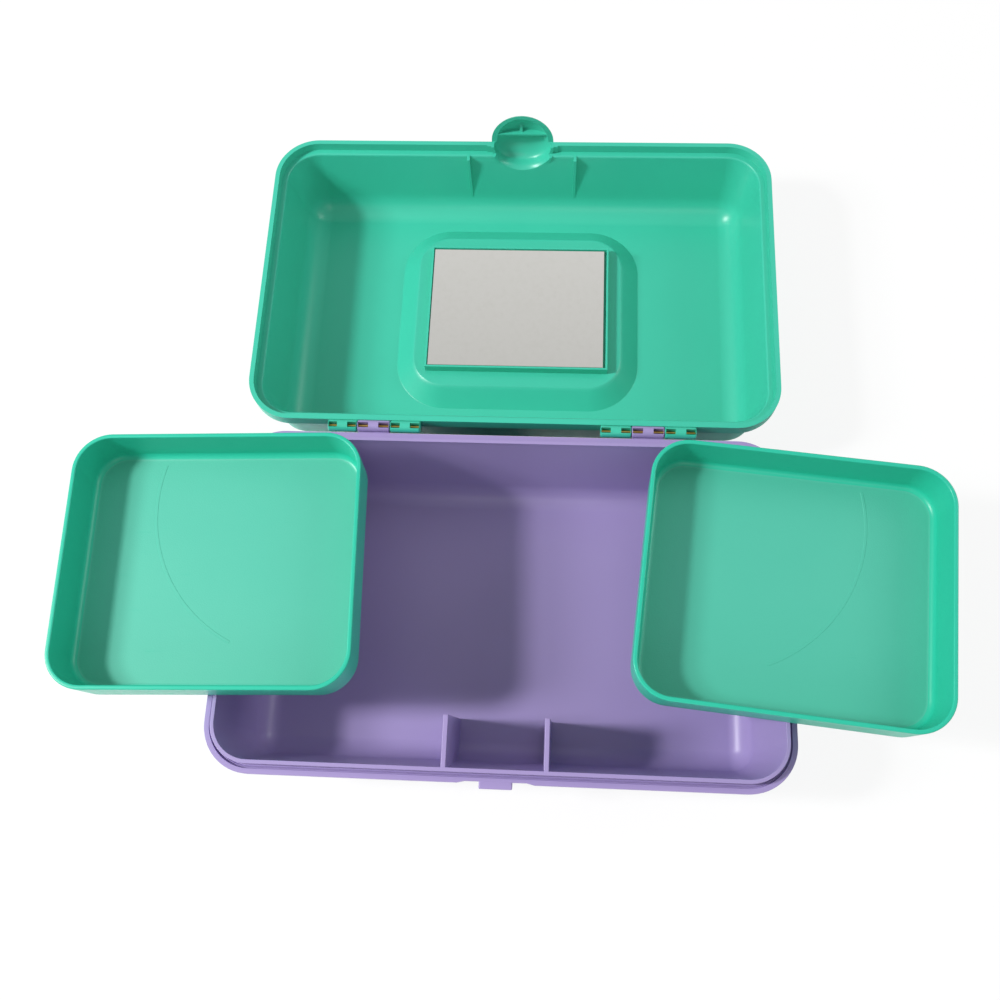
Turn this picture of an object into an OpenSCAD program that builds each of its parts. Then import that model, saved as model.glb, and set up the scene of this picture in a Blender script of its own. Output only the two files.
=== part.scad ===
// Makeup storage case: mirror lid on a pinned hinge, two trays that swing out
// on base posts, a spring latch and a folding carry handle in the lid.
// Millimetres. X runs across the case, +Y to the hinge, Z up.
// The origin is under the middle of the base, on the table.
// The lid is drawn closed and then turned open about the hinge axis.

/* [Case] */
// width over the rim flange
case_w = 320; // [200:1:400]
// depth over the rim flange
case_d = 198; // [120:1:260]
// plan corner radius of the rim flange
corner_r = 27; // [24:0.5:34]
// height of the base, table to parting plane
base_h = 64.5; // [50:0.5:90]
// height of the lid above the parting plane
lid_h = 58.5; // [45:0.5:80]
// moulded wall thickness
wall = 2.5; // [1.5:0.1:4]
// radius of the fillet between wall and floor, inside
floor_r = 16; // [10:0.5:20]
// slope of the shell walls, degrees
wall_draft = 8; // [2:0.5:10]
// opening angle of the lid
lid_open = 180; // [0:1:180]

/* [Rim] */
// height of the base flange band
flange_h = 4; // [3:0.5:8]
// width of the ledge that carries the lid skirt
ledge_w = 2.9; // [1.5:0.1:4]
// depth of the groove behind the ledge
groove_h = 1.5; // [0.5:0.1:2.5]
// inset of the tongue from the flange edge
tongue_in = 5; // [4:0.1:6]
// inset of the cavity from the flange edge
cavity_in = 7.15; // [6:0.05:9]
// height of the tongue above the ledge
tongue_h = 6; // [3:0.1:8]
// width of the bead in the groove
bead_w = 0.5; // [0.3:0.1:0.8]
// width of the lid skirt
skirt_w = 2.8; // [1.5:0.1:2.9]
// depth of the lid shelf below the rim
shelf_h = 6.3; // [4:0.1:9]
// inset of the lid cavity from the flange edge
lid_in = 6.8; // [6:0.05:9]
// gap left at the parting plane
rim_gap = 0.3; // [0.1:0.1:1]

/* [Hinge] */
// distance of the hinge axis behind the flange edge
hinge_out = 4.2; // [4:0.1:7]
// radius of the hinge barrels
barrel_r = 3.5; // [2.5:0.1:4]
// radius of the hinge pins
hinge_pin_r = 0.95; // [0.8:0.05:1.5]
// thickness of the leaf webs
leaf_t = 3.2; // [2:0.1:4]
// wall left at each end of a leaf beside its window
window_end = 0.7; // [0.4:0.1:1.5]
// width of the windows front to back
window_d = 2.5; // [2:0.1:3]
// half length of the solid barrel between two windows
mid_half = 3; // [2:0.1:4]

/* [Latch] */
// half width of the latch dome
dome_x = 20.7; // [15:0.1:26]
// reach of the dome in front of its centre
dome_y = 9; // [7:0.1:12]
// half height of the latch dome
dome_z = 23.5; // [18:0.1:28]
// thickness of the dome shell
dome_t = 2; // [1.5:0.1:3]
// how far the dome centre lies behind the flange edge
dome_in = 2; // [0:0.1:4]
// reach of the catch in front of the flange edge
catch_out = 3.6; // [2:0.1:5]
// half width of the catch
catch_half = 8.9; // [6:0.1:12]
// height of the catch
catch_h = 5.5; // [4:0.1:8]
// half width of the hook bar
bar_half = 15.8; // [10:0.1:18]
// height of the hook bar
bar_h = 4; // [2:0.1:5]
// gap between the catch and the hook bar
bar_gap = 0.4; // [0.2:0.1:1]
// front of the hook bar to the flange edge
bar_out = 2; // [1.5:0.1:3]

/* [Trays] */
// flange edge to a closed tray's outer side
tray_side = 16.55; // [15:0.05:30]
// front flange edge to a closed tray
tray_front = 19.8; // [18:0.1:30]
// rear flange edge to a closed tray
tray_rear = 15.8; // [15:0.1:30]
// tray height
tray_h = 28.2; // [20:0.1:30]
// tray corner radius
tray_r = 21; // [12:0.5:30]
// tray wall thickness
tray_wall = 2.4; // [1.5:0.1:3.5]
// tray floor thickness
tray_floor = 2.2; // [1.5:0.1:3.5]
// tray fillet at the floor, inside
tray_fillet = 3; // [1:0.5:6]
// tray bottom above the parting plane
tray_lift = 7.3; // [7:0.1:10]
// gap between the closed trays
tray_gap = 1.7; // [1.5:0.1:4]
// side flange edge to the pivot
pivot_side = 49.54; // [45:0.01:60]
// rear flange edge to the pivot
pivot_rear = 47.67; // [40:0.01:60]
// swing of the left tray in the open pose
swing_left = 88.06; // [0:0.01:92]
// swing of the right tray in the open pose
swing_right = 84.45; // [0:0.01:92]
// radius of the glide rib about the pivot
glide_r = 92.5; // [60:0.5:110]
// width of the glide rib
glide_w = 1.6; // [1:0.1:3]
// radius of the tray stub in its post
stub_r = 3; // [2:0.1:5]
// length of the tray stub
stub_h = 26; // [15:1:35]

/* [Handle and mirror] */
// half width of the handle recess at the lid top
recess_x = 77.5; // [60:0.5:85]
// half depth of the handle recess at the lid top
recess_y = 64.5; // [45:0.5:70]
// depth of the handle recess
recess_h = 10.5; // [6:0.5:16]
// slope width of the recess wall
recess_slope = 10; // [4:0.5:14]
// half width of the handle
handle_x = 63; // [45:0.5:66]
// pivot line to the middle of the grip
handle_reach = 45; // [30:0.5:48]
// height of the folded handle above the lid
handle_up = 5.7; // [2:0.1:10]
// handle arm thickness
arm_t = 12; // [8:0.5:13]
// grip width
grip_w = 18; // [12:0.5:22]
// mirror glass width
mirror_w = 113.9; // [80:0.1:120]
// mirror glass depth
mirror_d = 85.7; // [60:0.1:90]
// mirror glass thickness
mirror_t = 2.2; // [1.5:0.1:4]
// mirror frame outer width
frame_w = 118.5; // [90:0.1:126]
// mirror frame outer depth
frame_d = 89.5; // [70:0.1:96]
// mirror frame height above the pad
frame_h = 6.5; // [4:0.1:8]
// mirror frame lip width
lip_w = 1.3; // [0.8:0.1:3]
// foam strip width
tape_w = 18; // [8:1:30]
// foam strip thickness
tape_t = 1.2; // [0.8:0.1:1.4]
// glass edge to the ends of a foam strip
tape_in = 8; // [2:1:20]
// glass edge to the middle of a foam strip
tape_edge = 16.85; // [10:0.05:22]
// outer corner radius of the handle
bail_r = 18; // [10:0.5:24]

/* [Hidden] */
// facets around exact round features and around hulled corners
$fn = 64;
hull_fn = 40;
eps = 0.02;
half_w = case_w / 2;
half_d = case_d / 2;
axis_y = half_d + hinge_out;
slope = tan(wall_draft);
tray_w = half_w - tray_side - tray_gap / 2;
tray_d = case_d - tray_front - tray_rear;
tray_back = (tray_front - tray_rear) / 2;
pivot_x = half_w - pivot_side;
pivot_y = half_d - pivot_rear;
// base fillet centre: height, and inset from the flange edge
base_cz = wall + floor_r;
base_ci = cavity_in + slope * (base_h - base_cz) + floor_r / cos(wall_draft);
lid_cz = lid_h - wall - floor_r;
lid_ci = lid_in + slope * (lid_cz - shelf_h) + floor_r / cos(wall_draft);
// the lid's drafted wall starts this far in at the parting plane
lid_top = lid_in - slope * shelf_h;
lid_floor = lid_h - wall;
pad_z = lid_floor - recess_h;
pad_x = recess_x + wall;
pad_y = recess_y + wall;
pocket_z = pad_z - frame_h + 1 + mirror_t + tape_t;
// leaves: start and end across the case, outer ones belong to the lid
leaf_left = [[-108, -90.7], [-90.4, -71.1], [-70.8, -53]];
leaf_right = [[53.5, 71.5], [71.8, 90.8], [91.1, 109.4]];
pin_end = 0.6;
bore_gap = 0.03;
turn_gap = 0.08;
// middle of the wall at its fillet
mid_r = floor_r + wall / 2;
rib_x = 27.3;
rib_top = 2.6;
rib_foot = 4.4;
rib_reach = 34.7;
rib_run = 39.5;
fin_x = 35;
fin_t = 2;
post_r = 6.5;
post_foot = 8;
core_r = 4.4;
seat_z = base_h + tray_lift - stub_h + 0.1;
thrust_z = base_h + 5.9;
screw_r = 1.3;
washer_r = 4;
washer_t = 0.8;
pivot_pin_r = 2;
handle_z = lid_h - recess_h + 0.8 + arm_t / 2;
boss_w = 16;
teal = [0.16, 0.72, 0.6];
purple = [0.45, 0.36, 0.62];

// rectangle with round corners, centred
module rrect(w, d, r) {
    square([w - 2 * r, d], center = true);
    square([w, d - 2 * r], center = true);
    for (sx = [-1, 1], sy = [-1, 1])
        translate([sx * (w / 2 - r), sy * (d / 2 - r)])
            circle(r);
}

// case outline moved in from the flange edge
module outline(inset) {
    rrect(case_w - 2 * inset, case_d - 2 * inset, corner_r - inset);
}

// band between two insets
module band(inset_a, inset_b, z0, z1) {
    translate([0, 0, z0])
        linear_extrude(z1 - z0)
            difference() {
                outline(inset_a);
                outline(inset_b);
            }
}

// bowl: rim at z 0, closed below, fillet centres at -(cz), radius r
module bowl(inset, ci, cz, r) {
    hull()
        for (sx = [-1, 1], sy = [-1, 1]) {
            translate([sx * (half_w - corner_r), sy * (half_d - corner_r), -1])
                cylinder(r = corner_r - inset, h = 1, $fn = hull_fn);
            translate([sx * (half_w - ci), sy * (half_d - ci), -cz])
                sphere(r, $fn = hull_fn);
            translate([sx * (half_w - ci), sy * (half_d - ci), -cz - r])
                cylinder(r = 1.2, h = 0.2, $fn = hull_fn);
        }
}

// tapered block with round corners, R10 shoulder, from z 0 down to -h
module plateau(hx, hy, h, run) {
    cr = 33 - pad_x + hx;
    hull()
        for (sx = [-1, 1], sy = [-1, 1])
            translate([sx * (hx - cr), sy * (hy - cr), 0])
                rotate_extrude($fn = hull_fn)
                    polygon([[0, 0], [cr, 0], [cr - run * 0.62, -h * 0.72],
                        [cr - run * 0.78, -h * 0.9], [cr - run, -h],
                        [0, -h]]);
}

// carries a closed lid piece to its open pose
module lid_pose() {
    translate([0, axis_y, base_h])
        rotate([lid_open, 0, 0])
            translate([0, -axis_y, 0])
                children();
}

// a rod along X
module rod(x0, x1, r, y, z) {
    translate([x0, y, z])
        rotate([0, 90, 0])
            cylinder(r = r, h = x1 - x0);
}

function window_w(x) = (x[1] - x[0]) / 2 - mid_half - window_end;

// leaf with barrel and web, dir 1 for the lid side, -1 for the base side
module leaf(x, dir) {
    difference() {
        union() {
            rod(x[0], x[1], barrel_r, axis_y, 0);
            translate([x[0], half_d - skirt_w, dir > 0 ? rim_gap : -leaf_t - rim_gap])
                cube([x[1] - x[0], hinge_out + skirt_w, leaf_t]);
        }
        rod(x[0] - 1, x[1] + 1,
            hinge_pin_r + (dir > 0 ? turn_gap : bore_gap), axis_y, 0);
        for (s = [-1, 1])
            translate([(x[0] + x[1]) / 2 + s * (mid_half + window_w(x) / 2), axis_y, 0])
                cube([window_w(x), window_d, 3 * barrel_r], center = true);
    }
}

// dome solid of the latch, grown or shrunk by t
module dome(t) {
    translate([0.5, dome_in - half_d, 0])
        scale([(dome_x + t) / 10, (dome_y + t) / 10, (dome_z + t) / 10])
            sphere(10, $fn = hull_fn);
}

// half space block in front of the latch cut plane
module front_block(z0, z1, y1) {
    translate([-dome_x - 5, -half_d - dome_y - 5, z0])
        cube([2 * dome_x + 11, y1 + half_d + dome_y + 5, z1 - z0]);
}

module rib_plate() {
    intersection() {
        translate([-rib_foot / 2, 0, 0])
            rotate([90, 0, 90])
                linear_extrude(rib_foot)
                    polygon(concat([for (a = [180:15:270])
                            [-half_d + base_ci + mid_r * cos(a), base_cz + mid_r * sin(a)]],
                        [[-half_d + rib_run, wall - 1],
                        [-half_d + rib_reach, base_h + tongue_h],
                        [-half_d + tongue_in + 0.5, base_h + tongue_h]]));
        translate([0, half_d, 0])
            rotate([90, 0, 0])
                linear_extrude(2 * half_d)
                    polygon([[-rib_foot / 2, wall - 1], [rib_foot / 2, wall - 1],
                        [rib_top / 2, base_h + tongue_h],
                        [-rib_top / 2, base_h + tongue_h]]);
    }
}

module base_shell() {
    color(purple)
    difference() {
        union() {
            difference() {
                union() {
                    translate([0, 0, base_h])
                        bowl(cavity_in - wall, base_ci, base_h - base_cz,
                            floor_r + wall);
                    band(0, cavity_in, base_h - flange_h, base_h);
                    band(tongue_in, cavity_in, base_h - 1, base_h + tongue_h);
                }
                translate([0, 0, base_h + eps])
                    bowl(cavity_in, base_ci, base_h - base_cz, floor_r);
                band(ledge_w, tongue_in, base_h - groove_h, base_h + 1);
                // flange eased back behind the latch dome
                translate([0, 0, base_h - flange_h - 1])
                    linear_extrude(flange_h + 2)
                        polygon([[-25, -half_d - 1], [-23.5, -half_d + 1.5],
                            [24.5, -half_d + 1.5], [26, -half_d - 1]]);
            }
            // bead along the groove
            band(ledge_w + 0.8, ledge_w + 0.8 + bead_w, base_h - groove_h - eps,
                base_h - groove_h + 0.9);
            // catch for the latch bar
            translate([0.5 - catch_half, -half_d - catch_out, base_h - catch_h])
                cube([2 * catch_half, catch_out + 2.2, catch_h]);
            translate([0.5 - catch_half, -half_d + 1, base_h - catch_h])
                cube([2 * catch_half, 6, catch_h - groove_h]);
            // front ribs
            for (s = [-1, 1])
                translate([s * rib_x, 0, 0])
                    rib_plate();
            // cored posts for the trays
            for (s = [-1, 1])
                translate([s * pivot_x, pivot_y, wall - 1])
                    cylinder(r1 = post_foot, r2 = post_r, h = thrust_z - wall + 1);
            for (x = [leaf_left[1], leaf_right[1]])
                translate([0, 0, base_h])
                    leaf(x, -1);
        }
        for (s = [-1, 1])
            translate([s * pivot_x, pivot_y, 0]) {
                translate([0, 0, seat_z - 1])
                    cylinder(r = stub_r + turn_gap, h = base_h);
                translate([0, 0, -1])
                    cylinder(r1 = core_r + 0.8, r2 = core_r, h = seat_z + 1);
            }
    }
}

// lid shell, closed, z 0 at the parting plane
module lid_closed() {
    difference() {
        union() {
            difference() {
                union() {
                    mirror([0, 0, 1])
                        bowl(lid_top - wall, lid_ci, lid_cz, floor_r + wall);
                    band(0, lid_in, rim_gap, shelf_h + wall);
                }
                mirror([0, 0, 1])
                    bowl(lid_top, lid_ci, lid_cz, floor_r);
                translate([0, 0, -1])
                    linear_extrude(1 + rim_gap)
                        outline(-1);
                translate([0, 0, -1])
                    linear_extrude(1 + shelf_h)
                        outline(skirt_w);
            }
            // pad under the handle recess
            translate([0, 0, lid_floor + 1])
                plateau(pad_x, pad_y, recess_h + 1, recess_slope + 3);
            // mirror frame
            translate([-frame_w / 2, -frame_d / 2, pad_z - frame_h])
                cube([frame_w, frame_d, frame_h + 0.5]);
            // gusset fins by the latch
            for (s = [-1, 1])
                translate([s * fin_x - fin_t / 2, 0, 0])
                    rotate([90, 0, 90])
                        linear_extrude(fin_t)
                            polygon([[-half_d + lid_in - 1, shelf_h],
                                [-half_d + lid_in + 3.5, shelf_h],
                                [-half_d + lid_in + 5.4, 47],
                                [-half_d + lid_in + 5, 44]]);
            // upper half of the latch dome
            intersection() {
                dome(0);
                union() {
                    front_block(rim_gap, shelf_h + 1, -half_d + tongue_in - 0.4);
                    front_block(shelf_h, dome_z + 2, -half_d + dome_y);
                }
            }
            for (x = [leaf_left[0], leaf_left[2], leaf_right[0], leaf_right[2]])
                leaf(x, 1);
        }
        // handle recess
        translate([0, 0, lid_h + eps])
            plateau(recess_x, recess_y, recess_h + eps, recess_slope);
        // mirror pocket
        translate([-frame_w / 2 + lip_w, -frame_d / 2 + lip_w, pad_z - frame_h - 1])
            cube([frame_w - 2 * lip_w, frame_d - 2 * lip_w,
                pocket_z - pad_z + frame_h + 1]);
        dome(-dome_t);
        // the wall is open behind the dome
        translate([0.5, -half_d + 16, 0])
            rotate([90, 0, 0])
                linear_extrude(14)
                    scale([(dome_x - dome_t) / 10, (dome_z - dome_t) / 10])
                        circle(10);
    }
}

module lid_shell() {
    color(teal)
    lid_pose()
        difference() {
            union() {
                lid_closed();
                // pivot blocks in the recess
                for (s = [-1, 1])
                    mirror([s < 0 ? 1 : 0, 0, 0])
                        translate([handle_x + 0.6, boss_w / 2, lid_h])
                            rotate([90, 0, 0])
                                linear_extrude(boss_w)
                                    polygon([[0, 0], [0, -recess_h - 0.5],
                                        [5, -recess_h - 0.5], [7, -recess_h + 1.5],
                                        [11, -recess_h + 5], [12.5, 0]]);
            }
            rod(-handle_x - 9, handle_x + 9, pivot_pin_r + bore_gap, 0, handle_z);
        }
}

module latch_tab() {
    color(teal)
    lid_pose()
        difference() {
            union() {
                intersection() {
                    difference() {
                        dome(0);
                        dome(-dome_t);
                    }
                    front_block(-dome_z - 2, rim_gap - 0.05, -half_d + 1);
                }
                // hook bar and its centre rib
                intersection() {
                    dome(-0.5);
                    union() {
                        translate([0.5 - bar_half, -half_d - dome_y,
                            -catch_h - bar_gap - bar_h])
                            cube([2 * bar_half, dome_y - bar_out, bar_h]);
                        translate([-0.5, -half_d - dome_y,
                            -catch_h - bar_gap - bar_h - 5])
                            cube([2, dome_y - bar_out - 1, bar_h + 4]);
                    }
                }
            }
        }
}

module hinge_pin(leaves) {
    color([0.8, 0.62, 0.3])
    rod(leaves[0][0] + pin_end, leaves[2][1] - pin_end, hinge_pin_r, axis_y, base_h);
}

module hinge_pin_left() {
    hinge_pin(leaf_left);
}

module hinge_pin_right() {
    hinge_pin(leaf_right);
}

module mirror_glass() {
    color([0.8, 0.8, 0.78])
    lid_pose()
        translate([-frame_w / 2 + lip_w + 0.4, -mirror_d / 2, pad_z - frame_h + 1])
            cube([mirror_w, mirror_d, mirror_t]);
}

// foam strip between the pocket floor and the glass
module mirror_tape(s) {
    color([0.9, 0.9, 0.88])
    lid_pose()
        translate([-mirror_w / 2 + tape_in,
            s * (mirror_d / 2 - tape_edge) - tape_w / 2, pocket_z - tape_t])
            cube([mirror_w - 2 * tape_in, tape_w, tape_t]);
}

module mirror_tape_upper() {
    mirror_tape(-1);
}

module mirror_tape_lower() {
    mirror_tape(1);
}

// bar of round-cornered section, drawn in Y and Z, along X
module grip_bar() {
    translate([-handle_x, 0, 0])
        rotate([90, 0, 90])
            linear_extrude(2 * handle_x)
                translate([-handle_reach, (handle_up + lid_h - handle_z - arm_t / 2) / 2])
                    rrect(grip_w, handle_up + lid_h - handle_z + arm_t / 2, 5);
}

module handle_arm() {
    rotate([90, 0, 0])
        linear_extrude(handle_reach)
            rrect(arm_t, arm_t, 3);
    rotate([0, 90, 0])
        cylinder(r = arm_t / 2, h = arm_t, center = true);
}

module handle() {
    color(purple)
    lid_pose()
        translate([0, 0, handle_z])
            difference() {
                intersection() {
                    union() {
                        grip_bar();
                        for (s = [-1, 1])
                            translate([s * (handle_x - arm_t / 2), 0, 0])
                                handle_arm();
                    }
                    // rounded outer corners of the bail
                    translate([0, arm_t - handle_reach / 2, -arm_t])
                        linear_extrude(3 * arm_t)
                            rrect(2 * handle_x, handle_reach + grip_w + 2 * arm_t, bail_r);
                }
                rod(-handle_x - 1, handle_x + 1, pivot_pin_r + turn_gap, 0, 0);
            }
}

module handle_pin(s) {
    color([0.75, 0.75, 0.78])
    lid_pose()
        mirror([s < 0 ? 1 : 0, 0, 0])
            rod(handle_x - arm_t + 1, handle_x + 8, pivot_pin_r, 0, handle_z);
}

module handle_pin_left() {
    handle_pin(-1);
}

module handle_pin_right() {
    handle_pin(1);
}

// tub with draft and a floor fillet, top at z 0, depth h
module tray_tub(w, d, r, h, fillet) {
    hull()
        for (sx = [-1, 1], sy = [-1, 1])
            translate([sx * (w / 2 - r), sy * (d / 2 - r), 0])
                rotate_extrude($fn = hull_fn)
                    polygon([[0, 0], [r, 0], [r - 0.8, -h + fillet],
                        [r - 0.8 - fillet * 0.3, -h + fillet * 0.3],
                        [r - 0.8 - fillet, -h], [0, -h]]);
}

// right tray, closed pose
module tray_closed() {
    difference() {
        union() {
            translate([tray_gap / 2 + tray_w / 2, tray_back,
                base_h + tray_lift + tray_h])
                tray_tub(tray_w, tray_d, tray_r, tray_h, 1);
            translate([pivot_x, pivot_y, 0]) {
                // stub and thrust collar
                translate([0, 0, base_h + tray_lift - stub_h])
                    cylinder(r = stub_r, h = stub_h + 1);
                translate([0, 0, thrust_z + 0.1])
                    cylinder(r = post_r - 0.5, h = 2.5);
                // glide rib that rides over the tongue
                translate([0, 0, base_h + tongue_h + 0.3])
                    rotate([0, 0, 212])
                        rotate_extrude(angle = 73)
                            translate([glide_r - glide_w / 2, 0])
                                square([glide_w, 1.5]);
            }
        }
        translate([tray_gap / 2 + tray_w / 2, tray_back,
            base_h + tray_lift + tray_h + eps])
            tray_tub(tray_w - 2 * tray_wall, tray_d - 2 * tray_wall,
                tray_r - tray_wall, tray_h - tray_floor + eps, tray_fillet);
        translate([pivot_x, pivot_y, base_h + tray_lift - stub_h - 1])
            cylinder(r = screw_r + 0.01, h = 14);
    }
}

// turns a closed right-hand piece out about its pivot
module swing_pose(s, angle) {
    mirror([s < 0 ? 1 : 0, 0, 0])
        translate([pivot_x, pivot_y, 0])
            rotate([0, 0, angle])
                translate([-pivot_x, -pivot_y, 0])
                    children();
}

module tray_left() {
    color(teal)
    swing_pose(-1, swing_left)
        tray_closed();
}

module tray_right() {
    color(teal)
    swing_pose(1, swing_right)
        tray_closed();
}

// pan-head screw from below into the tray stub
module tray_screw(s) {
    color([0.7, 0.7, 0.72])
    translate([s * pivot_x, pivot_y, base_h + tray_lift - stub_h - washer_t])
        difference() {
            union() {
                cylinder(r = screw_r, h = 12);
                translate([0, 0, -2])
                    cylinder(r = 2.9, h = 2);
            }
            for (a = [0, 90])
                rotate([0, 0, a])
                    translate([-1.6, -0.35, -2.5])
                        cube([3.2, 0.7, 1.7]);
        }
}

module tray_screw_left() {
    tray_screw(-1);
}

module tray_screw_right() {
    tray_screw(1);
}

module tray_washer(s) {
    color([0.78, 0.78, 0.8])
    translate([s * pivot_x, pivot_y, base_h + tray_lift - stub_h - washer_t])
        difference() {
            cylinder(r = washer_r, h = washer_t);
            translate([0, 0, -1])
                cylinder(r = screw_r + 0.1, h = washer_t + 2);
        }
}

module tray_washer_left() {
    tray_washer(-1);
}

module tray_washer_right() {
    tray_washer(1);
}

base_shell();
lid_shell();
latch_tab();
hinge_pin_left();
hinge_pin_right();
mirror_glass();
mirror_tape_upper();
mirror_tape_lower();
handle();
handle_pin_left();
handle_pin_right();
tray_left();
tray_right();
tray_screw_left();
tray_screw_right();
tray_washer_left();
tray_washer_right();
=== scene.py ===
"""Makeup storage case, open: purple base, teal mirror lid, two swing-out trays.

Every number about the case is in millimetres and is turned to metres where a
mesh is made. X runs across the case, +Y to the hinge, Z up from the table.
"""

import math

import bpy
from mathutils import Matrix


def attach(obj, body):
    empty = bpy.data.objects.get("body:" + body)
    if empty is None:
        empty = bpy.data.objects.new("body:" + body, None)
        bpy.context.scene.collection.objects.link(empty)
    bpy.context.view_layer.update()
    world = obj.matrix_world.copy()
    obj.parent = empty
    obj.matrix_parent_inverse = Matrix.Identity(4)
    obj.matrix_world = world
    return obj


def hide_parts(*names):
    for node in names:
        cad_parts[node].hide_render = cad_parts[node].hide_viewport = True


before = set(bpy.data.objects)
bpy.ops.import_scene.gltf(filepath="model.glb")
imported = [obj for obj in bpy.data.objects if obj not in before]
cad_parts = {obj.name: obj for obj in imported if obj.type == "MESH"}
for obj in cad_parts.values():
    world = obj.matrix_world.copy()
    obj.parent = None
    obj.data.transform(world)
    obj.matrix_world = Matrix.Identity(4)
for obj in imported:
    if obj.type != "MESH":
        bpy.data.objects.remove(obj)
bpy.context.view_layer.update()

MM = 0.001
# case; the open lid is drawn about LID_Y, as far behind the hinge as the base is before it
CASE_W, CASE_D, CORNER = 320.0, 198.0, 27.0
HALF_D = CASE_D / 2
BASE_H, LID_H, WALL = 64.5, 58.5, 2.5
AXIS_OUT = 4.2
AXIS_Y = HALF_D + AXIS_OUT
LID_Y = 2 * AXIS_Y
SLOPE = math.tan(math.radians(8))
FRONT, FAR_EDGE = -HALF_D, LID_Y + HALF_D
SHOULDER, FLOOR_IN = 16.0, 26.5
LID_FLOOR, PAD_H, FRAME_H = BASE_H - LID_H + WALL, 10.5, 6.5
# rims
FLANGE, LEDGE, GROOVE, TONGUE_IN, CAVITY_IN, TONGUE = 4.0, 2.9, 2.2, 5.0, 7.15, 6.0
BEAD_GAP, BEAD_W, BEAD_H = 0.8, 0.46, 0.9
SKIRT, SHELF, LID_IN, RIM_GAP = 2.8, 6.3, 6.8, 0.3
# latch: middle, half axes of its dome, catch
LATCH_X, DOME = 0.5, (20.7, 9.0, 23.5)
CATCH_HALF, CATCH_H = 8.9, 5.5
# hinge leaves, across the case
LEAVES_LEFT = [(-108, -90.7), (-90.4, -71.1), (-70.8, -53)]
LEAVES_RIGHT = [(53.5, 71.5), (71.8, 90.8), (91.1, 109.4)]
LEAF_R = 3.5
# trays
TRAY_W, TRAY_D, TRAY_H, TRAY_R = 142.6, 162.4, 28.2, 21.0
TRAY_WALL, TRAY_FLOOR, TRAY_GAP, TRAY_BACK, TRAY_LIFT = 2.4, 2.2, 1.7, 2.0, 7.3
PIVOT_X, PIVOT_Y, SWING_LEFT, SWING_RIGHT = 110.46, 51.33, 88.06, 84.45
TRAY_LOW, POST_TOP = BASE_H + TRAY_LIFT, BASE_H + 5.9
POST_R, STUB_R, GLIDE_R = 6.5, 3.0, 92.5
# folding handle: height of its pins, half width, half thickness of its arms
HANDLE_Z, HANDLE_X, ARM = 9.7, 63.0, 6.0


# ---------------------------------------------------------------- modelling

def only(ob):
    """Leaves one object selected and active."""
    bpy.ops.object.select_all(action="DESELECT")
    ob.select_set(True)
    bpy.context.view_layer.objects.active = ob


def begin(ob, name):
    """Names a fresh primitive and leaves it alone selected and active."""
    ob.name = ob.data.name = name
    only(ob)
    return ob


def settle():
    """Puts a primitive's place and size into its mesh."""
    bpy.ops.object.transform_apply(location=True, rotation=True, scale=True)


def block(name, low, high):
    """Box between two corners, in millimetres."""
    bpy.ops.object.select_all(action="DESELECT")
    size = [(b - a) * MM for a, b in zip(low, high)]
    middle = [(a + b) / 2 * MM for a, b in zip(low, high)]
    bpy.ops.mesh.primitive_cube_add(size=1, location=middle)
    ob = begin(bpy.context.object, name)
    ob.scale = size
    settle()
    return ob


def rod(name, centre, radius, length, turn=(0, 0, 0), sides=48):
    """Cylinder about a centre point, in millimetres."""
    bpy.ops.object.select_all(action="DESELECT")
    bpy.ops.mesh.primitive_cylinder_add(
        vertices=sides, radius=radius * MM, depth=length * MM,
        location=[c * MM for c in centre], rotation=turn)
    ob = begin(bpy.context.object, name)
    settle()
    return ob


def pick(ob, test, mode="FACE"):
    """Selects the faces or vertices that pass a test and opens edit mode."""
    only(ob)
    bpy.ops.object.mode_set(mode="EDIT")
    bpy.ops.mesh.select_mode(type=mode)
    bpy.ops.mesh.select_all(action="DESELECT")
    bpy.ops.object.mode_set(mode="OBJECT")
    if mode == "FACE":
        for face in ob.data.polygons:
            c = face.center / MM
            face.select = bool(test(c, face.normal))
    else:
        for vert in ob.data.vertices:
            vert.select = bool(test(vert.co / MM))
    bpy.ops.object.mode_set(mode="EDIT")


def done():
    """Closes edit mode."""
    bpy.ops.object.mode_set(mode="OBJECT")


def shift(ob, test, by):
    """Moves the vertices that pass a test."""
    pick(ob, test, "VERT")
    bpy.ops.transform.translate(value=[b * MM for b in by])
    done()


def stretch(ob, test, factors, centre):
    """Scales the vertices that pass a test about a point, in millimetres."""
    pick(ob, test, "VERT")
    bpy.ops.transform.resize(value=factors, center_override=[c * MM for c in centre])
    done()


def cut(ob, point, normal):
    """Adds a row of vertices where a plane crosses the piece."""
    pick(ob, lambda c, n: True)
    bpy.ops.mesh.bisect(plane_co=[p * MM for p in point], plane_no=normal)
    done()


def slab(name, width, depth, radius, y, low, high, segments=16):
    """Round-cornered slab: a plane with its corners bevelled, then extruded."""
    bpy.ops.object.select_all(action="DESELECT")
    bpy.ops.mesh.primitive_plane_add(size=1, location=(0, y * MM, low * MM))
    ob = begin(bpy.context.object, name)
    ob.scale = (width * MM, depth * MM, 1)
    settle()
    bpy.ops.object.mode_set(mode="EDIT")
    bpy.ops.mesh.select_all(action="SELECT")
    bpy.ops.mesh.bevel(offset=radius * MM, segments=segments, affect="VERTICES")
    bpy.ops.mesh.select_all(action="SELECT")
    bpy.ops.mesh.extrude_region_move(
        TRANSFORM_OT_translate={"value": (0, 0, (high - low) * MM)})
    bpy.ops.mesh.select_all(action="SELECT")
    bpy.ops.mesh.normals_make_consistent(inside=False)
    done()
    return ob


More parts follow.
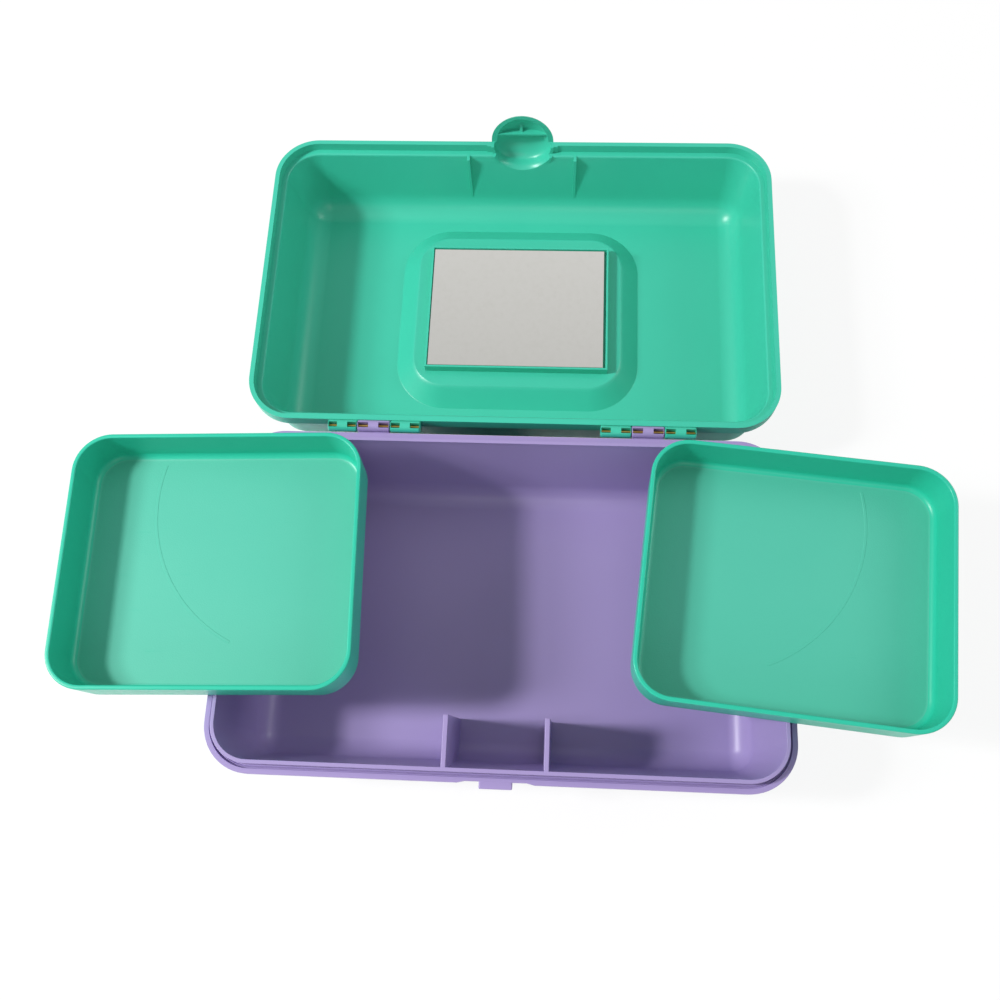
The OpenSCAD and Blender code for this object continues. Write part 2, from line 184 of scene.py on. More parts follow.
def step_in(ob, up, steps):
    """Insets the top or bottom cap again and again: (inwards, along its normal)."""
    facing = 1 if up else -1
    z = max(f.center.z * facing for f in ob.data.polygons if f.normal.z * facing > 0.9)
    pick(ob, lambda c, n: abs(c.z * MM * facing - z) < 1e-6 and n.z * facing > 0.9)
    for inwards, along in steps:
        bpy.ops.mesh.inset(thickness=inwards * MM, depth=along * MM,
                           use_even_offset=True, use_boundary=True)
    done()


def fillet(inwards, along, count=7):
    """Quarter round as inset steps, upright first, flat last."""
    turns = [math.pi / 2 * k / count for k in range(count + 1)]
    return [(inwards * (math.cos(a) - math.cos(b)), along * (math.sin(b) - math.sin(a)))
            for a, b in zip(turns, turns[1:])]


def shoulder(inwards, along, count=5):
    """Quarter round as inset steps, flat first, upright last."""
    turns = [math.pi / 2 * k / count for k in range(count + 1)]
    return [(inwards * (math.sin(b) - math.sin(a)), along * (math.cos(a) - math.cos(b)))
            for a, b in zip(turns, turns[1:])]


def modify(ob, kind, **values):
    """Adds one modifier with its values and applies it."""
    only(ob)
    mod = ob.modifiers.new(kind.lower(), kind)
    for key, value in values.items():
        setattr(mod, key, value)
    bpy.ops.object.modifier_apply(modifier=mod.name)


def combine(ob, other, operation):
    """Boolean with another piece, which is used up."""
    modify(ob, "BOOLEAN", object=other, operation=operation, solver="EXACT")
    bpy.data.objects.remove(other, do_unlink=True)


def soften(ob, width=0.4, segments=3, angle=38):
    """Breaks the sharp edges of a moulding."""
    modify(ob, "BEVEL", width=width * MM, segments=segments, limit_method="ANGLE",
           angle_limit=math.radians(angle), harden_normals=False)


def smooth(ob, angle=32):
    """Shades a piece smooth and keeps its large flat faces flat."""
    only(ob)
    bpy.ops.object.shade_smooth_by_angle(angle=math.radians(angle))
    modify(ob, "WEIGHTED_NORMAL", keep_sharp=True)


def outwards(ob):
    """Merges doubles and turns every face outwards."""
    pick(ob, lambda c, n: True)
    bpy.ops.mesh.remove_doubles(threshold=1e-6)
    bpy.ops.mesh.select_all(action="SELECT")
    bpy.ops.mesh.normals_make_consistent(inside=False)
    done()


def twin(ob, name):
    """Copy with its own mesh."""
    copy = ob.copy()
    copy.data = ob.data.copy()
    bpy.context.collection.objects.link(copy)
    return begin(copy, name)


def fit(ob, body, slot, material, *nodes):
    """Gives a finished piece its material, smooth shading and body, and hides the CAD nodes it
    stands for; slot is not used.
    """
    ob.data.materials.clear()
    ob.data.materials.append(material)
    smooth(ob)
    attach(ob, body)
    if nodes:
        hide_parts(*nodes)


# ---------------------------------------------------------------- materials

class Nodes:
    """Adds and links nodes in one tree."""

    def __init__(self, tree):
        self.tree = tree
        tree.nodes.clear()

    def add(self, kind, inputs=None, **values):
        node = self.tree.nodes.new(kind)
        for key, value in values.items():
            setattr(node, key, value)
        for key, value in (inputs or {}).items():
            if hasattr(value, "is_output"):
                self.tree.links.new(value, node.inputs[key])
            else:
                node.inputs[key].default_value = value
        return node


def new_group(name, inputs, outputs):
    """Node group with named inputs and outputs, and its node adder."""
    group = bpy.data.node_groups.new(name, "ShaderNodeTree")
    for label, kind in inputs:
        group.interface.new_socket(name=label, in_out="INPUT", socket_type="NodeSocket" + kind)
    for label, kind in outputs:
        group.interface.new_socket(name=label, in_out="OUTPUT", socket_type="NodeSocket" + kind)
    return group, Nodes(group)


def moulding_group():
    """Moulded plastic: faint flow mottle, fine grain, hairline scuffs."""
    group, n = new_group("moulding_finish", [
        ("Place", "Vector"), ("Colour", "Color"), ("Flow colour", "Color"), ("Mottle", "Float"),
        ("Roughness", "Float"), ("Grain size", "Float"), ("Scuffs", "Float")],
        [("Colour", "Color"), ("Roughness", "Float"), ("Height", "Float")])
    given = n.add("NodeGroupInput").outputs
    flow = n.add("ShaderNodeTexNoise", {"Vector": given["Place"], "Scale": 18.0, "Detail": 3.0,
                                        "Distortion": 0.6})
    share = n.add("ShaderNodeMath", {0: flow.outputs["Fac"], 1: given["Mottle"]},
                  operation="MULTIPLY")
    tint = n.add("ShaderNodeMix", {0: share.outputs[0], "A": given["Colour"],
                                   "B": given["Flow colour"]}, data_type="RGBA")
    grain = n.add("ShaderNodeTexNoise", {"Vector": given["Place"],
                                         "Scale": given["Grain size"], "Detail": 2.0})
    drawn = n.add("ShaderNodeMapping", {"Vector": given["Place"], "Scale": (60.0, 900.0, 300.0),
                                        "Rotation": (0.0, 0.0, 0.7)})
    hair = n.add("ShaderNodeTexNoise", {"Vector": drawn.outputs[0], "Scale": 1.0, "Detail": 4.0})
    hair_at = n.add("ShaderNodeMapRange", {"Value": hair.outputs["Fac"], "From Min": 0.66,
                                           "From Max": 0.72})
    scuffed = n.add("ShaderNodeMath", {0: hair_at.outputs[0], 1: given["Scuffs"]},
                    operation="MULTIPLY")
    spread = n.add("ShaderNodeMath", {0: grain.outputs["Fac"], 1: 0.10}, operation="MULTIPLY")
    rough = n.add("ShaderNodeMath", {0: given["Roughness"], 1: spread.outputs[0]}, operation="ADD")
    rough = n.add("ShaderNodeMath", {0: rough.outputs[0], 1: scuffed.outputs[0]}, operation="ADD")
    height = n.add("ShaderNodeMath", {0: grain.outputs["Fac"], 1: scuffed.outputs[0]},
                   operation="SUBTRACT")
    n.add("NodeGroupOutput", {"Colour": tint.outputs["Result"], "Roughness": rough.outputs[0],
                              "Height": height.outputs[0]})
    return group


def metal_group():
    """Drawn or plated metal: streaks along X and a light tarnish."""
    group, n = new_group("drawn_metal", [
        ("Place", "Vector"), ("Colour", "Color"), ("Tarnish", "Color"), ("Roughness", "Float")],
        [("Colour", "Color"), ("Roughness", "Float"), ("Height", "Float")])
    given = n.add("NodeGroupInput").outputs
    drawn = n.add("ShaderNodeMapping", {"Vector": given["Place"], "Scale": (80.0, 2400.0, 2400.0)})
    streak = n.add("ShaderNodeTexNoise", {"Vector": drawn.outputs[0], "Scale": 1.0, "Detail": 3.0})
    cloud = n.add("ShaderNodeTexNoise", {"Vector": given["Place"], "Scale": 260.0, "Detail": 3.0})
    dull = n.add("ShaderNodeMapRange", {"Value": cloud.outputs["Fac"], "From Min": 0.45,
                                        "From Max": 0.75, "To Max": 0.6})
    tint = n.add("ShaderNodeMix", {0: dull.outputs[0], "A": given["Colour"],
                                   "B": given["Tarnish"]}, data_type="RGBA")
    spread = n.add("ShaderNodeMath", {0: streak.outputs["Fac"], 1: 0.15}, operation="MULTIPLY")
    rough = n.add("ShaderNodeMath", {0: given["Roughness"], 1: spread.outputs[0]}, operation="ADD")
    n.add("NodeGroupOutput", {"Colour": tint.outputs["Result"], "Roughness": rough.outputs[0],
                              "Height": streak.outputs["Fac"]})
    return group


def finish_from(name, group, values, bump, **shader):
    """Material with one finish group feeding a Principled shader."""
    material = bpy.data.materials.new(name)
    material.use_nodes = True
    n = Nodes(material.node_tree)
    place = n.add("ShaderNodeTexCoord").outputs["Object"]
    made = n.add("ShaderNodeGroup", node_tree=group)
    material.node_tree.links.new(place, made.inputs["Place"])
    for key, value in values.items():
        made.inputs[key].default_value = value
    relief = n.add("ShaderNodeBump", {"Height": made.outputs["Height"], "Strength": bump,
                                      "Distance": 0.0002})
    inputs = {"Base Color": made.outputs["Colour"], "Roughness": made.outputs["Roughness"],
              "Normal": relief.outputs[0]}
    inputs.update(shader)
    body = n.add("ShaderNodeBsdfPrincipled", inputs)
    n.add("ShaderNodeOutputMaterial", {"Surface": body.outputs[0]})
    return material


def rgb(red, green, blue):
    """Screen colour, 0 to 255, as the linear colour that shaders take."""
    def linear(c):
        c /= 255
        return c / 12.92 if c <= 0.04045 else ((c + 0.055) / 1.055) ** 2.4
    return (linear(red), linear(green), linear(blue), 1.0)


MOULDING = moulding_group()
METAL = metal_group()

teal = finish_from("teal_moulding", MOULDING, {
    "Colour": rgb(58, 189, 161), "Flow colour": rgb(68, 196, 168), "Mottle": 0.5,
    "Roughness": 0.3, "Grain size": 1500.0, "Scuffs": 0.06}, 0.12,
    **{"Specular IOR Level": 0.5})
tray_teal = finish_from("tray_moulding", MOULDING, {
    "Colour": rgb(36, 186, 155), "Flow colour": rgb(50, 194, 164), "Mottle": 0.6,
    "Roughness": 0.3, "Grain size": 1300.0, "Scuffs": 0.10}, 0.15,
    **{"Specular IOR Level": 0.4})
# Tray floor: a rougher grain of its own, and a paler colour that is painted sheen, the haze of the
# lamps on the upward floor
tray_floor_grain_and_sheen = finish_from("tray_floor_grain_and_painted_sheen", MOULDING, {
    "Colour": rgb(72, 182, 158), "Flow colour": rgb(84, 188, 164), "Mottle": 0.6,
    "Roughness": 0.5, "Grain size": 1900.0, "Scuffs": 0.14}, 0.3,
    **{"Specular IOR Level": 0.5})
purple = finish_from("purple_moulding", MOULDING, {
    "Colour": rgb(156, 140, 191), "Flow colour": rgb(164, 148, 197), "Mottle": 0.5,
    "Roughness": 0.32, "Grain size": 1500.0, "Scuffs": 0.08}, 0.12,
    **{"Specular IOR Level": 0.5})
brass = finish_from("brass_wire", METAL, {
    "Colour": rgb(214, 176, 98), "Tarnish": rgb(150, 112, 58), "Roughness": 0.22}, 0.1,
    Metallic=1.0)
steel = finish_from("plated_steel", METAL, {
    "Colour": rgb(200, 200, 204), "Tarnish": rgb(150, 150, 152), "Roughness": 0.25}, 0.1,
    Metallic=1.0)
silver = finish_from("mirror_silver", METAL, {
    "Colour": rgb(247, 246, 241), "Tarnish": rgb(243, 242, 236), "Roughness": 0.0}, 0.0,
    Metallic=1.0)
foam = finish_from("foam_tape", MOULDING, {
    "Colour": rgb(222, 220, 214), "Flow colour": rgb(206, 204, 198), "Mottle": 0.5,
    "Roughness": 0.8, "Grain size": 2500.0, "Scuffs": 0.0}, 0.4)


# ---------------------------------------------------------------- base

def make_base():
    """Base shell: a flange slab stepped down outside and stepped in inside."""
    ob = slab("base_body", CASE_W, CASE_D, CORNER, 0, BASE_H - FLANGE, BASE_H)
    bead = LEDGE + BEAD_GAP
    drop = BASE_H - WALL - SHOULDER
    wall_in = CAVITY_IN + 0.05 + SLOPE * drop
    step_in(ob, True, [
        (LEDGE, 0), (0.02, -GROOVE), (BEAD_GAP, 0), (0.02, BEAD_H), (BEAD_W, 0),
        (0.02, -BEAD_H), (TONGUE_IN - bead - 0.5, 0), (0.05, GROOVE + TONGUE), (2.1, 0),
        (0.05, -TONGUE), (wall_in - CAVITY_IN - 0.05, -drop)]
        + fillet(FLOOR_IN - wall_in, -SHOULDER))
    outer = CAVITY_IN - WALL
    rise = BASE_H - FLANGE - WALL - SHOULDER
    wall_out = outer + SLOPE * rise
    step_in(ob, False, [(outer, 0), (wall_out - outer, rise)]
            + fillet(FLOOR_IN - wall_out, SHOULDER + WALL))
    # flange eased back behind the latch, with long slants
    ease = block("ease", (-16, FRONT - 4, BASE_H - FLANGE - 1), (17, FRONT + 1, BASE_H + 1))
    shift(ease, lambda v: v.y < FRONT - 3 and v.x < 0, (-22, 0, 0))
    shift(ease, lambda v: v.y < FRONT - 3 and v.x > 0, (22, 0, 0))
    combine(ob, ease, "DIFFERENCE")
    for side in (-1, 1):
        core = rod("core", (side * PIVOT_X, PIVOT_Y, 20), 5, 44)
        combine(ob, core, "DIFFERENCE")
    soften(ob, 0.35)
    fit(ob, "base", "base_plastic", purple, "base_shell")


def make_catch():
    """Catch block under the latch bar, with a lead-in on its lower edge."""
    ob = block("latch_catch", (LATCH_X - CATCH_HALF, FRONT - 2.9, BASE_H - CATCH_H),
               (LATCH_X + CATCH_HALF, FRONT + 2.4, BASE_H - 0.1))
    shift(ob, lambda v: v.y < FRONT and v.z < BASE_H - 3, (0, 0.8, 0))
    soften(ob, 0.6)
    fit(ob, "base", "base_plastic", purple)


def make_front_ribs():
    """Two front ribs that carry the trays, thicker towards the floor.

    Their front edge follows the shoulder of the shell at four heights.
    """
    front, foot = 5.6, 1.6
    rows = [(18.5, 12.4), (9, 14.9), (4, 19.1), (foot, 24)]
    for side, name in ((-1, "front_rib_left"), (1, "front_rib_right")):
        x = side * 27.3
        ob = block(name, (x - 1.3, FRONT + front, foot),
                   (x + 1.3, FRONT + 34.7, BASE_H + TONGUE - 0.05))
        for z, _ in rows[:-1]:
            cut(ob, (0, 0, z), (0, 0, 1))
        for z, inset in rows:
            shift(ob, lambda v: v.y < FRONT + 6 and abs(v.z - z) < 0.2, (0, inset - front, 0))
        for z, _ in rows:
            down = (BASE_H + TONGUE - z) / 69
            shift(ob, lambda v: v.y > FRONT + 30 and abs(v.z - z) < 0.2, (0, 4.8 * down, 0))
            shift(ob, lambda v: v.x > x and abs(v.z - z) < 0.2, (0.9 * down, 0, 0))
            shift(ob, lambda v: v.x < x and abs(v.z - z) < 0.2, (-0.9 * down, 0, 0))
        soften(ob, 0.35)
        fit(ob, "base", "base_plastic", purple)


def make_posts():
    """Tapered posts that the trays turn on."""
    for side, name in ((-1, "tray_post_left"), (1, "tray_post_right")):
        x = side * PIVOT_X
        ob = rod(name, (x, PIVOT_Y, (POST_TOP + 1) / 2), POST_R, POST_TOP - 1, sides=64)
        stretch(ob, lambda v: v.z < 2, (8 / POST_R, 8 / POST_R, 1), (x, PIVOT_Y, 0))
        combine(ob, rod("core", (x, PIVOT_Y, 20), 4.9, 51.8), "DIFFERENCE")
        combine(ob, rod("bore", (x, PIVOT_Y, 60), STUB_R + 0.08, 40), "DIFFERENCE")
        soften(ob, 0.4)
        fit(ob, "base", "base_plastic", purple)


# ---------------------------------------------------------------- hinges

def make_leaf(name, span, side):
    """One hinge leaf with its windows; side is 1 for the lid's, -1 for the base's."""
    left, right = span
    middle, width = (left + right) / 2, right - left
    ob = rod(name, (middle, AXIS_Y, BASE_H), LEAF_R, width, (0, math.pi / 2, 0), 40)
    soften(ob, 0.9)
    reach = AXIS_OUT + 2.4
    web = block("web", (left + 0.3, AXIS_Y if side > 0 else AXIS_Y - reach, BASE_H - LEAF_R),
                (right - 0.3, AXIS_Y + reach if side > 0 else AXIS_Y, BASE_H - 1))
    combine(ob, web, "UNION")
    window = (width / 2 - 3 - 0.45) / 2
    for off in (-1, 1):
        x = middle + off * (3 + window)
        gap = block("window", (x - window, AXIS_Y - 1.9, BASE_H - 6),
                    (x + window, AXIS_Y + 1.25, BASE_H + 6))
        combine(ob, gap, "DIFFERENCE")
    return ob


def make_base_leaves():
    """The middle leaf of each hinge, moulded with the base."""
    for where, spans in (("left", LEAVES_LEFT), ("right", LEAVES_RIGHT)):
        ob = make_leaf("base_leaf_" + where, spans[1], -1)
        soften(ob, 0.2, 2)
        fit(ob, "base", "base_plastic", purple)


# ---------------------------------------------------------------- lid

def make_lid():
    """Lid shell lying open: rim up, handle recess below, mirror pad inside."""
    top, band = BASE_H - RIM_GAP, BASE_H - SHELF - WALL
    ob = slab("lid_body", CASE_W, CASE_D, CORNER, LID_Y, band, top)
    drop = LID_H - WALL - SHOULDER - SHELF
    wall_in = LID_IN + SLOPE * drop
    step_in(ob, True, [(SKIRT, 0), (0.15, -(SHELF - RIM_GAP)), (LID_IN - SKIRT - 1.35, 0)]
            + shoulder(1.2, -1.6)
            + [(wall_in - LID_IN, -drop + 1.6)] + fillet(FLOOR_IN - wall_in, -SHOULDER))
    outer = LID_IN - WALL
    down = band - (BASE_H - LID_H) - (SHOULDER + WALL)
    wall_out = outer + SLOPE * (down + 2)
    step_in(ob, False, [(outer, 0), (wall_out - outer, down)]
            + fillet(FLOOR_IN - wall_out, SHOULDER + WALL))
    # pad for the mirror, and the handle's recess in its back
    pad = slab("pad", 160, 134, 33, LID_Y, LID_FLOOR - 1, LID_FLOOR)
    step_in(pad, True, [(0.4, 0.1), (8.3, 7.2), (1.7, 1.6), (1.5, 1.05), (1.1, 0.55)])
    combine(ob, pad, "UNION")
    recess = slab("recess", 155, 129, 30.5, LID_Y, 4, 6)
    step_in(recess, True, [(8, 7.6), (1.1, 1.6), (0.9, 1.3)])
    combine(ob, recess, "DIFFERENCE")
    # latch dome: bulge outside, thickened skirt at its sides, bowl inside
    combine(ob, dome_half(), "UNION")
    for side in (-1, 1):
        low, high = sorted((LATCH_X + side * 17, LATCH_X + side * 23))
        ear = block("ear", (low, FAR_EDGE - 3.7, top - SHELF - 1), (high, FAR_EDGE - 0.5, top))
        combine(ob, ear, "UNION")
    combine(ob, bowl_mouth(), "DIFFERENCE")
    combine(ob, dome("hollow", (-2.2, -2, -7)), "DIFFERENCE")
    for span in (LEAVES_LEFT[0], LEAVES_LEFT[2], LEAVES_RIGHT[0], LEAVES_RIGHT[2]):
        combine(ob, make_leaf("leaf", span, 1), "UNION")
    soften(ob, 0.35)
    fit(ob, "lid", "lid_plastic", teal, "lid_shell")


def make_pivot_blocks():
    """Blocks at the sides of the recess that hold the handle pins."""
    for side, name in ((-1, "pivot_block_left"), (1, "pivot_block_right")):
        low, high = sorted((side * 63.6, side * 76.0))
        ob = block(name, (low, LID_Y - 8, 6.02), (high, LID_Y + 8, 17))
        shift(ob, lambda v: abs(v.x) > 70 and v.z > 12, (-side * 6.5, 0, 0))
        soften(ob, 0.5)
        fit(ob, "lid", "lid_plastic", teal)


def make_mirror_frame():
    """Raised frame on the pad, with its thin lip round the glass."""
    pad_top = LID_FLOOR + PAD_H
    ob = block("mirror_frame", (-59.25, LID_Y - 44.75, pad_top - 0.5),
               (59.25, LID_Y + 44.75, pad_top + FRAME_H))
    step_in(ob, True, [(1.3, 0), (0.05, -4.4)])
    soften(ob, 0.25)
    fit(ob, "lid", "lid_plastic", teal)


def make_glass():
    """Mirror glass with ground edges."""
    top = LID_FLOOR + PAD_H + FRAME_H - 1
    ob = block("mirror_pane", (-57.55, LID_Y - 42.85, top - 2.2), (56.35, LID_Y + 42.85, top))
    soften(ob, 0.3, 2)
    fit(ob, "lid", "mirror", silver, "mirror_glass")


def make_fins():
    """Thin gusset fins beside the latch, running down the lid's front wall."""
    wall, foot = FAR_EDGE - LID_IN, BASE_H - 47
    for side, name in ((-1, "gusset_fin_left"), (1, "gusset_fin_right")):
        x = side * 35
        ob = block(name, (x - 1, wall - 3.5, foot), (x + 1, wall + 1, BASE_H - SHELF))
        shift(ob, lambda v: v.z < foot + 1 and v.y < wall, (0, -1.9, 0))
        shift(ob, lambda v: v.z < foot + 1 and v.y > wall, (0, -6, 3))
        soften(ob, 0.25)
        fit(ob, "lid", "lid_plastic", teal)


# ---------------------------------------------------------------- latch

def dome(name, grow=(0, 0, 0), taller=1):
    """Ellipsoid of the latch dome, grown by some millimetres each way."""
    bpy.ops.object.select_all(action="DESELECT")
    bpy.ops.mesh.primitive_uv_sphere_add(
        segments=96, ring_count=48, radius=1,
        location=(LATCH_X * MM, (FAR_EDGE - 2) * MM, BASE_H * MM))
    ob = begin(bpy.context.object, name)
    across, out, up = [half + more for half, more in zip(DOME, grow)]
    ob.scale = (across * MM, out * MM, up * taller * MM)
    settle()
    return ob


def dome_half():
    """Lid's half of the dome, kept clear of the rim's channel above the shelf."""
    ob = dome("bulge")
    collar = rod("collar", (LATCH_X, FAR_EDGE - 4.8, BASE_H), 10, 5.6, (math.pi / 2, 0, 0), 96)
    stretch(collar, lambda v: True, (2.03, 1, 2.3), (LATCH_X, 0, BASE_H))
    combine(ob, collar, "UNION")
    keep = block("keep", (-30, FAR_EDGE - LID_IN - 2.2, BASE_H - 40),
                 (30, FAR_EDGE + 20, BASE_H - RIM_GAP))
    channel = block("channel", (-40, FAR_EDGE - 20, BASE_H - SHELF),
                    (40, FAR_EDGE - 4.6, BASE_H + 5))
    combine(keep, channel, "DIFFERENCE")
    combine(ob, keep, "INTERSECT")
    return ob


def bowl_mouth():
    """Opening of the dome into the lid, flared where it meets the wall.

    Each row is a place before the far edge and how much wider the mouth is there.
    """
    ob = rod("mouth", (LATCH_X, FAR_EDGE - 9.5, BASE_H), 10, 15, (math.pi / 2, 0, 0), 96)
    flare = ((-2, 0), (-4, 0.1), (-5.5, 0.35), (-6.8, 0.8), (-8, 1.6), (-9, 2.7), (-10, 4.3),
             (-11, 6.5), (-17, 22))
    for y, _ in flare[1:-1]:
        cut(ob, (0, FAR_EDGE + y, 0), (0, 1, 0))
    for y, wider in flare:
        stretch(ob, lambda v: abs(v.y - FAR_EDGE - y) < 0.05,
                ((18.5 + wider * 0.7) / 10, 1, (16.5 + wider) / 10), (LATCH_X, 0, BASE_H))
    return ob


def make_latch():
    """Free half of the dome with its hook bar and stiffening rib."""
    taller = 1.06
    tab = dome("latch_shell", taller=taller)
    combine(tab, dome("inner", (-3.2, -2.2, -2.3), taller), "DIFFERENCE")
    keep = block("keep", (-30, FAR_EDGE + 0.1, BASE_H - RIM_GAP + 0.05),
                 (30, FAR_EDGE + 20, BASE_H + 40))
    combine(tab, keep, "INTERSECT")
    low = BASE_H + CATCH_H + 0.25
    bar = block("hook_bar", (-17, FAR_EDGE + 0.2, low), (18, FAR_EDGE + 8, low + 1.2))
    rib = block("hook_rib", (-1.3, FAR_EDGE + 1.6, low + 0.8), (0.6, FAR_EDGE + 8, low + 6.5))
    shift(rib, lambda v: v.y < FAR_EDGE + 3 and v.z > low + 3, (0, 2.2, 0))
    combine(bar, rib, "UNION")
    combine(bar, dome("inside", (-1, -1, -1), taller), "INTERSECT")
    combine(tab, bar, "UNION")
    soften(tab, 0.3)
    fit(tab, "latch", "lid_plastic", teal, "latch_tab")


# ---------------------------------------------------------------- trays

def make_tray_shape():
    """Right tray, closed, with the pivot at the origin of its drawing."""
    rim = TRAY_LOW + TRAY_H
    ob = slab("tray", TRAY_W, TRAY_D, TRAY_R, 0, rim - 1, rim, 14)
    step_in(ob, True, [(TRAY_WALL, 0), (0.8, -(TRAY_H - TRAY_FLOOR - 4))] + fillet(4, -4, 5))
    step_in(ob, False, [(0.8, TRAY_H - 2.5)] + fillet(1.5, 1.5, 3))
    soften(ob, 0.7, 3, 50)
    place(ob, TRAY_GAP / 2 + TRAY_W / 2 - PIVOT_X, TRAY_BACK - PIVOT_Y, 0)
    return ob


def frost_and_sheen_floor(ob):
    """Gives the tray's upward floor faces the rougher finish of its mould and a paler colour that
    is painted sheen of the lamps.
    """
    ob.data.materials.append(tray_floor_grain_and_sheen)
    pick(ob, lambda c, n: n.z > 0.6 and c.z < TRAY_LOW + TRAY_FLOOR + 0.3)
    ob.active_material_index = 1
    bpy.ops.object.material_slot_assign()
    done()


def place(ob, x, y, turn, mirror=False):
    """Moves, turns or mirrors a piece, in its mesh."""
    only(ob)
    ob.location = (x * MM, y * MM, 0)
    ob.rotation_euler = (0, 0, math.radians(turn))
    if mirror:
        ob.scale = (-1, 1, 1)
    settle()
    if mirror:
        outwards(ob)


def arc_strip(name, radius, width, low, high, start, angle, foot=1):
    """Curved strip about the pivot: a small section spun round it.

    The section's lower edge is foot times as wide as its upper one.
    """
    ob = block(name, (radius - width / 2, -0.001, low), (radius + width / 2, 0, high))
    stretch(ob, lambda v: v.z < (low + high) / 2, (foot, 1, 1), (radius, 0, 0))
    place(ob, 0, 0, start)
    turn = math.radians(start)
    pick(ob, lambda c, n: n.dot((-math.sin(turn), math.cos(turn), 0)) > 0.9)
    bpy.ops.mesh.spin(steps=48, angle=math.radians(angle), center=(0, 0, 0), axis=(0, 0, -1))
    done()
    outwards(ob)
    return ob


def make_trays():
    """Both trays, drawn closed about the pivot and swung out; the left is a mirror image."""
    low, floor = TRAY_LOW, TRAY_LOW + TRAY_FLOOR
    shape = make_tray_shape()
    glide = arc_strip("glide", GLIDE_R, 1.6, BASE_H + TONGUE + 0.3, low + 0.8, 212, 73)
    # faint curved line on the floor, beside the glide rib
    combine(shape, arc_strip("line", GLIDE_R - 2.5, 1.3, floor - 0.25, floor + 0.16, 207, 78, 1.7),
            "UNION")
    collar = rod("collar", (0, 0, low), 6, 2.6, sides=48)
    stub = rod("stub", (0, 0, low + 0.5 - 13), STUB_R, 26, sides=40)
    combine(stub, rod("pilot", (0, 0, low - 20), 1.3, 14), "DIFFERENCE")
    for ob, width in ((glide, 0.3), (collar, 0.4), (stub, 0.3)):
        soften(ob, width, 2)
    parts = (("shell", shape), ("glide_rib", glide), ("collar", collar), ("stub", stub))
    for where, turn, mirror in (("left", SWING_LEFT, True), ("right", SWING_RIGHT, False)):
        for label, source in parts:
            ob = twin(source, f"tray_{label}_{where}")
            place(ob, 0, 0, turn)
            place(ob, PIVOT_X, PIVOT_Y, 0)
            if mirror:
                place(ob, 0, 0, 0, True)
            nodes = ["tray_" + where] if label == "shell" else []
            fit(ob, where + "_tray", "tray_plastic", tray_teal, *nodes)
            if nodes:
                # upward floor faces: rougher finish and painted sheen
                frost_and_sheen_floor(ob)
    for _, source in parts:
        bpy.data.objects.remove(source, do_unlink=True)


# ---------------------------------------------------------------- handle

def make_handle():
    """Folding bail: thick grip, two arms with round pivot ends."""
    x, z = HANDLE_X, HANDLE_Z
    ob = block("bail", (-x, LID_Y + 36, 0.3), (x, LID_Y + 54, z + ARM))
    for side in (-1, 1):
        low, high = sorted((side * (x - 2 * ARM), side * x))
        combine(ob, block("arm", (low, LID_Y, z - ARM), (high, LID_Y + 45, z + ARM)), "UNION")
        end = rod("end", (side * (x - ARM), LID_Y, z), ARM, 2 * ARM, (0, math.pi / 2, 0), 48)
        combine(ob, end, "UNION")
    trim = slab("trim", 2 * x, 100, 18, LID_Y + 4, -5, 25, 12)
    combine(ob, trim, "INTERSECT")
    bore = rod("bore", (0, LID_Y, z), 2.08, 130, (0, math.pi / 2, 0), 32)
    combine(ob, bore, "DIFFERENCE")
    soften(ob, 2.2, 4, 50)
    fit(ob, "handle", "handle_plastic", purple, "handle")


# ---------------------------------------------------------------- build

make_base()
make_catch()
make_front_ribs()
make_posts()
make_base_leaves()
make_lid()
make_pivot_blocks()
make_mirror_frame()
make_glass()
make_fins()
make_latch()
make_trays()
make_handle()

# CAD pieces that stay as they are, with their materials
KEPT = {"hinge_pin": brass, "handle_pin": steel, "tray_screw": steel, "tray_washer": steel,
        "mirror_tape": foam}
for node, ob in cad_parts.items():
    for start, material in KEPT.items():
        if node.startswith(start):
            for slot in ob.material_slots:
                slot.link = "OBJECT"
                slot.material = material


# ---------------------------------------------------------------- studio

def make_floor():
    """Pale paper that the camera sees nearly white and that keeps a faint shadow."""
    bpy.ops.object.select_all(action="DESELECT")
    bpy.ops.mesh.primitive_grid_add(x_subdivisions=8, y_subdivisions=8, size=12,
                                    location=(0, 0.1, 0))
    ob = begin(bpy.context.object, "studio_floor")
    settle()
    material = bpy.data.materials.new("studio_paper")
    material.use_nodes = True
    n = Nodes(material.node_tree)
    place_at = n.add("ShaderNodeTexCoord").outputs["Object"]
    fibre = n.add("ShaderNodeTexNoise", {"Vector": place_at, "Scale": 40.0, "Detail": 3.0})
    tone = n.add("ShaderNodeMix", {0: fibre.outputs["Fac"], "A": rgb(250, 250, 250),
                                   "B": rgb(252, 252, 252)}, data_type="RGBA")
    paper = n.add("ShaderNodeBsdfDiffuse", {"Color": tone.outputs["Result"]})
    white = n.add("ShaderNodeEmission", {"Color": (1, 1, 1, 1), "Strength": 1.0})
    path = n.add("ShaderNodeLightPath")
    seen = n.add("ShaderNodeMath", {0: path.outputs["Is Camera Ray"], 1: 0.87},
                 operation="MULTIPLY")
    mixed = n.add("ShaderNodeMixShader", {0: seen.outputs[0], 1: paper.outputs[0],
                                          2: white.outputs[0]})
    n.add("ShaderNodeOutputMaterial", {"Surface": mixed.outputs[0]})
    ob.data.materials.append(material)


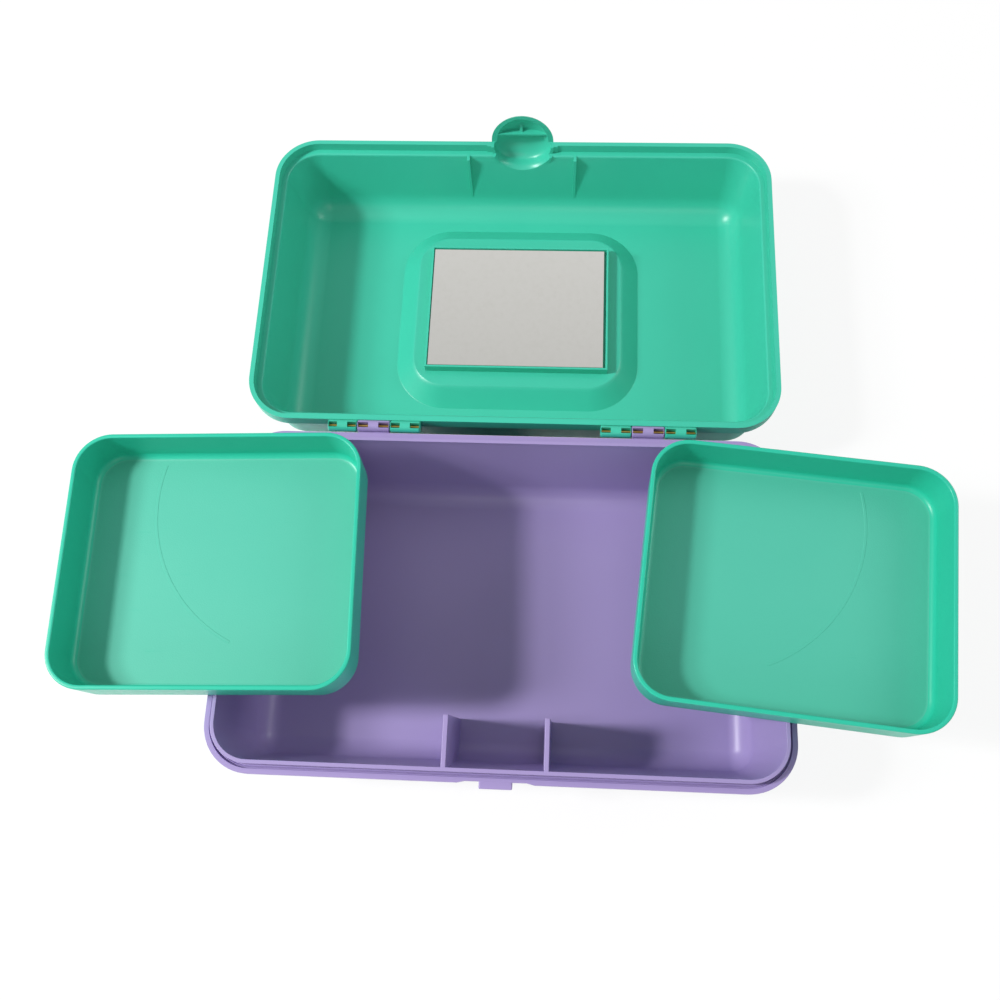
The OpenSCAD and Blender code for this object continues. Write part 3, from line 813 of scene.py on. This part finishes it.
def make_lamp(name, place_at, size, power, aim=(0, 0.1, 0.03)):
    """Round area lamp turned towards a point of the case, in metres."""
    bpy.ops.object.select_all(action="DESELECT")
    bpy.ops.object.light_add(type="AREA", location=place_at)
    lamp = bpy.context.object
    lamp.name = name
    lamp.data.shape = "DISK"
    lamp.data.size = size
    lamp.data.energy = power
    away = [p - a for p, a in zip(place_at, aim)]
    flat = math.hypot(away[0], away[1])
    lamp.rotation_euler = (math.atan2(flat, away[2]), 0, math.atan2(away[0], -away[1]))


make_floor()
make_lamp("key_left", (-1.35, -0.11, 1.49), 0.22, 23)
make_lamp("key_left_low", (-1.53, -0.17, 1.29), 0.3, 14.5)
make_lamp("soft_right", (1.4, 0.5, 1.0), 0.8, 6.5)
make_lamp("soft_front", (0.3, -1.7, 1.2), 1.0, 3.6)

# world: even for diffuse light, graded for reflections, nearly white for the camera
world = bpy.data.worlds.new("studio_world")
bpy.context.scene.world = world
world.use_nodes = True
sky = Nodes(world.node_tree)
way = sky.add("ShaderNodeTexCoord").outputs["Generated"]
along = sky.add("ShaderNodeSeparateXYZ", {0: way}).outputs["Y"]
glow = sky.add("ShaderNodeMapRange", {"Value": along, "From Min": 0.36, "From Max": 0.56,
                                      "To Min": 0.52, "To Max": 0.68})
shine = sky.add("ShaderNodeLightPath").outputs["Is Glossy Ray"]
level = sky.add("ShaderNodeMapRange", {"Value": shine, "To Min": 0.40,
                                       "To Max": glow.outputs[0]})
seen = sky.add("ShaderNodeLightPath").outputs["Is Camera Ray"]
level = sky.add("ShaderNodeMapRange", {"Value": seen, "To Min": level.outputs[0], "To Max": 0.97})
back = sky.add("ShaderNodeBackground", {"Color": (1, 1, 1, 1), "Strength": level.outputs[0]})
sky.add("ShaderNodeOutputWorld", {"Surface": back.outputs[0]})

bpy.ops.object.camera_add(location=(0.02910, -0.12130, 0.61860),
                          rotation=[math.radians(a) for a in (18.0066, 2.4239, 2.3891)])
camera = bpy.context.object
camera.name = "photo_camera"
camera.data.lens = 36.37
camera.data.sensor_width = 36
camera.data.shift_x = -0.0032
camera.data.shift_y = 0.0022
camera.data.clip_start = 0.01
bpy.context.scene.camera = camera
bpy.context.scene.view_settings.view_transform = "Standard"
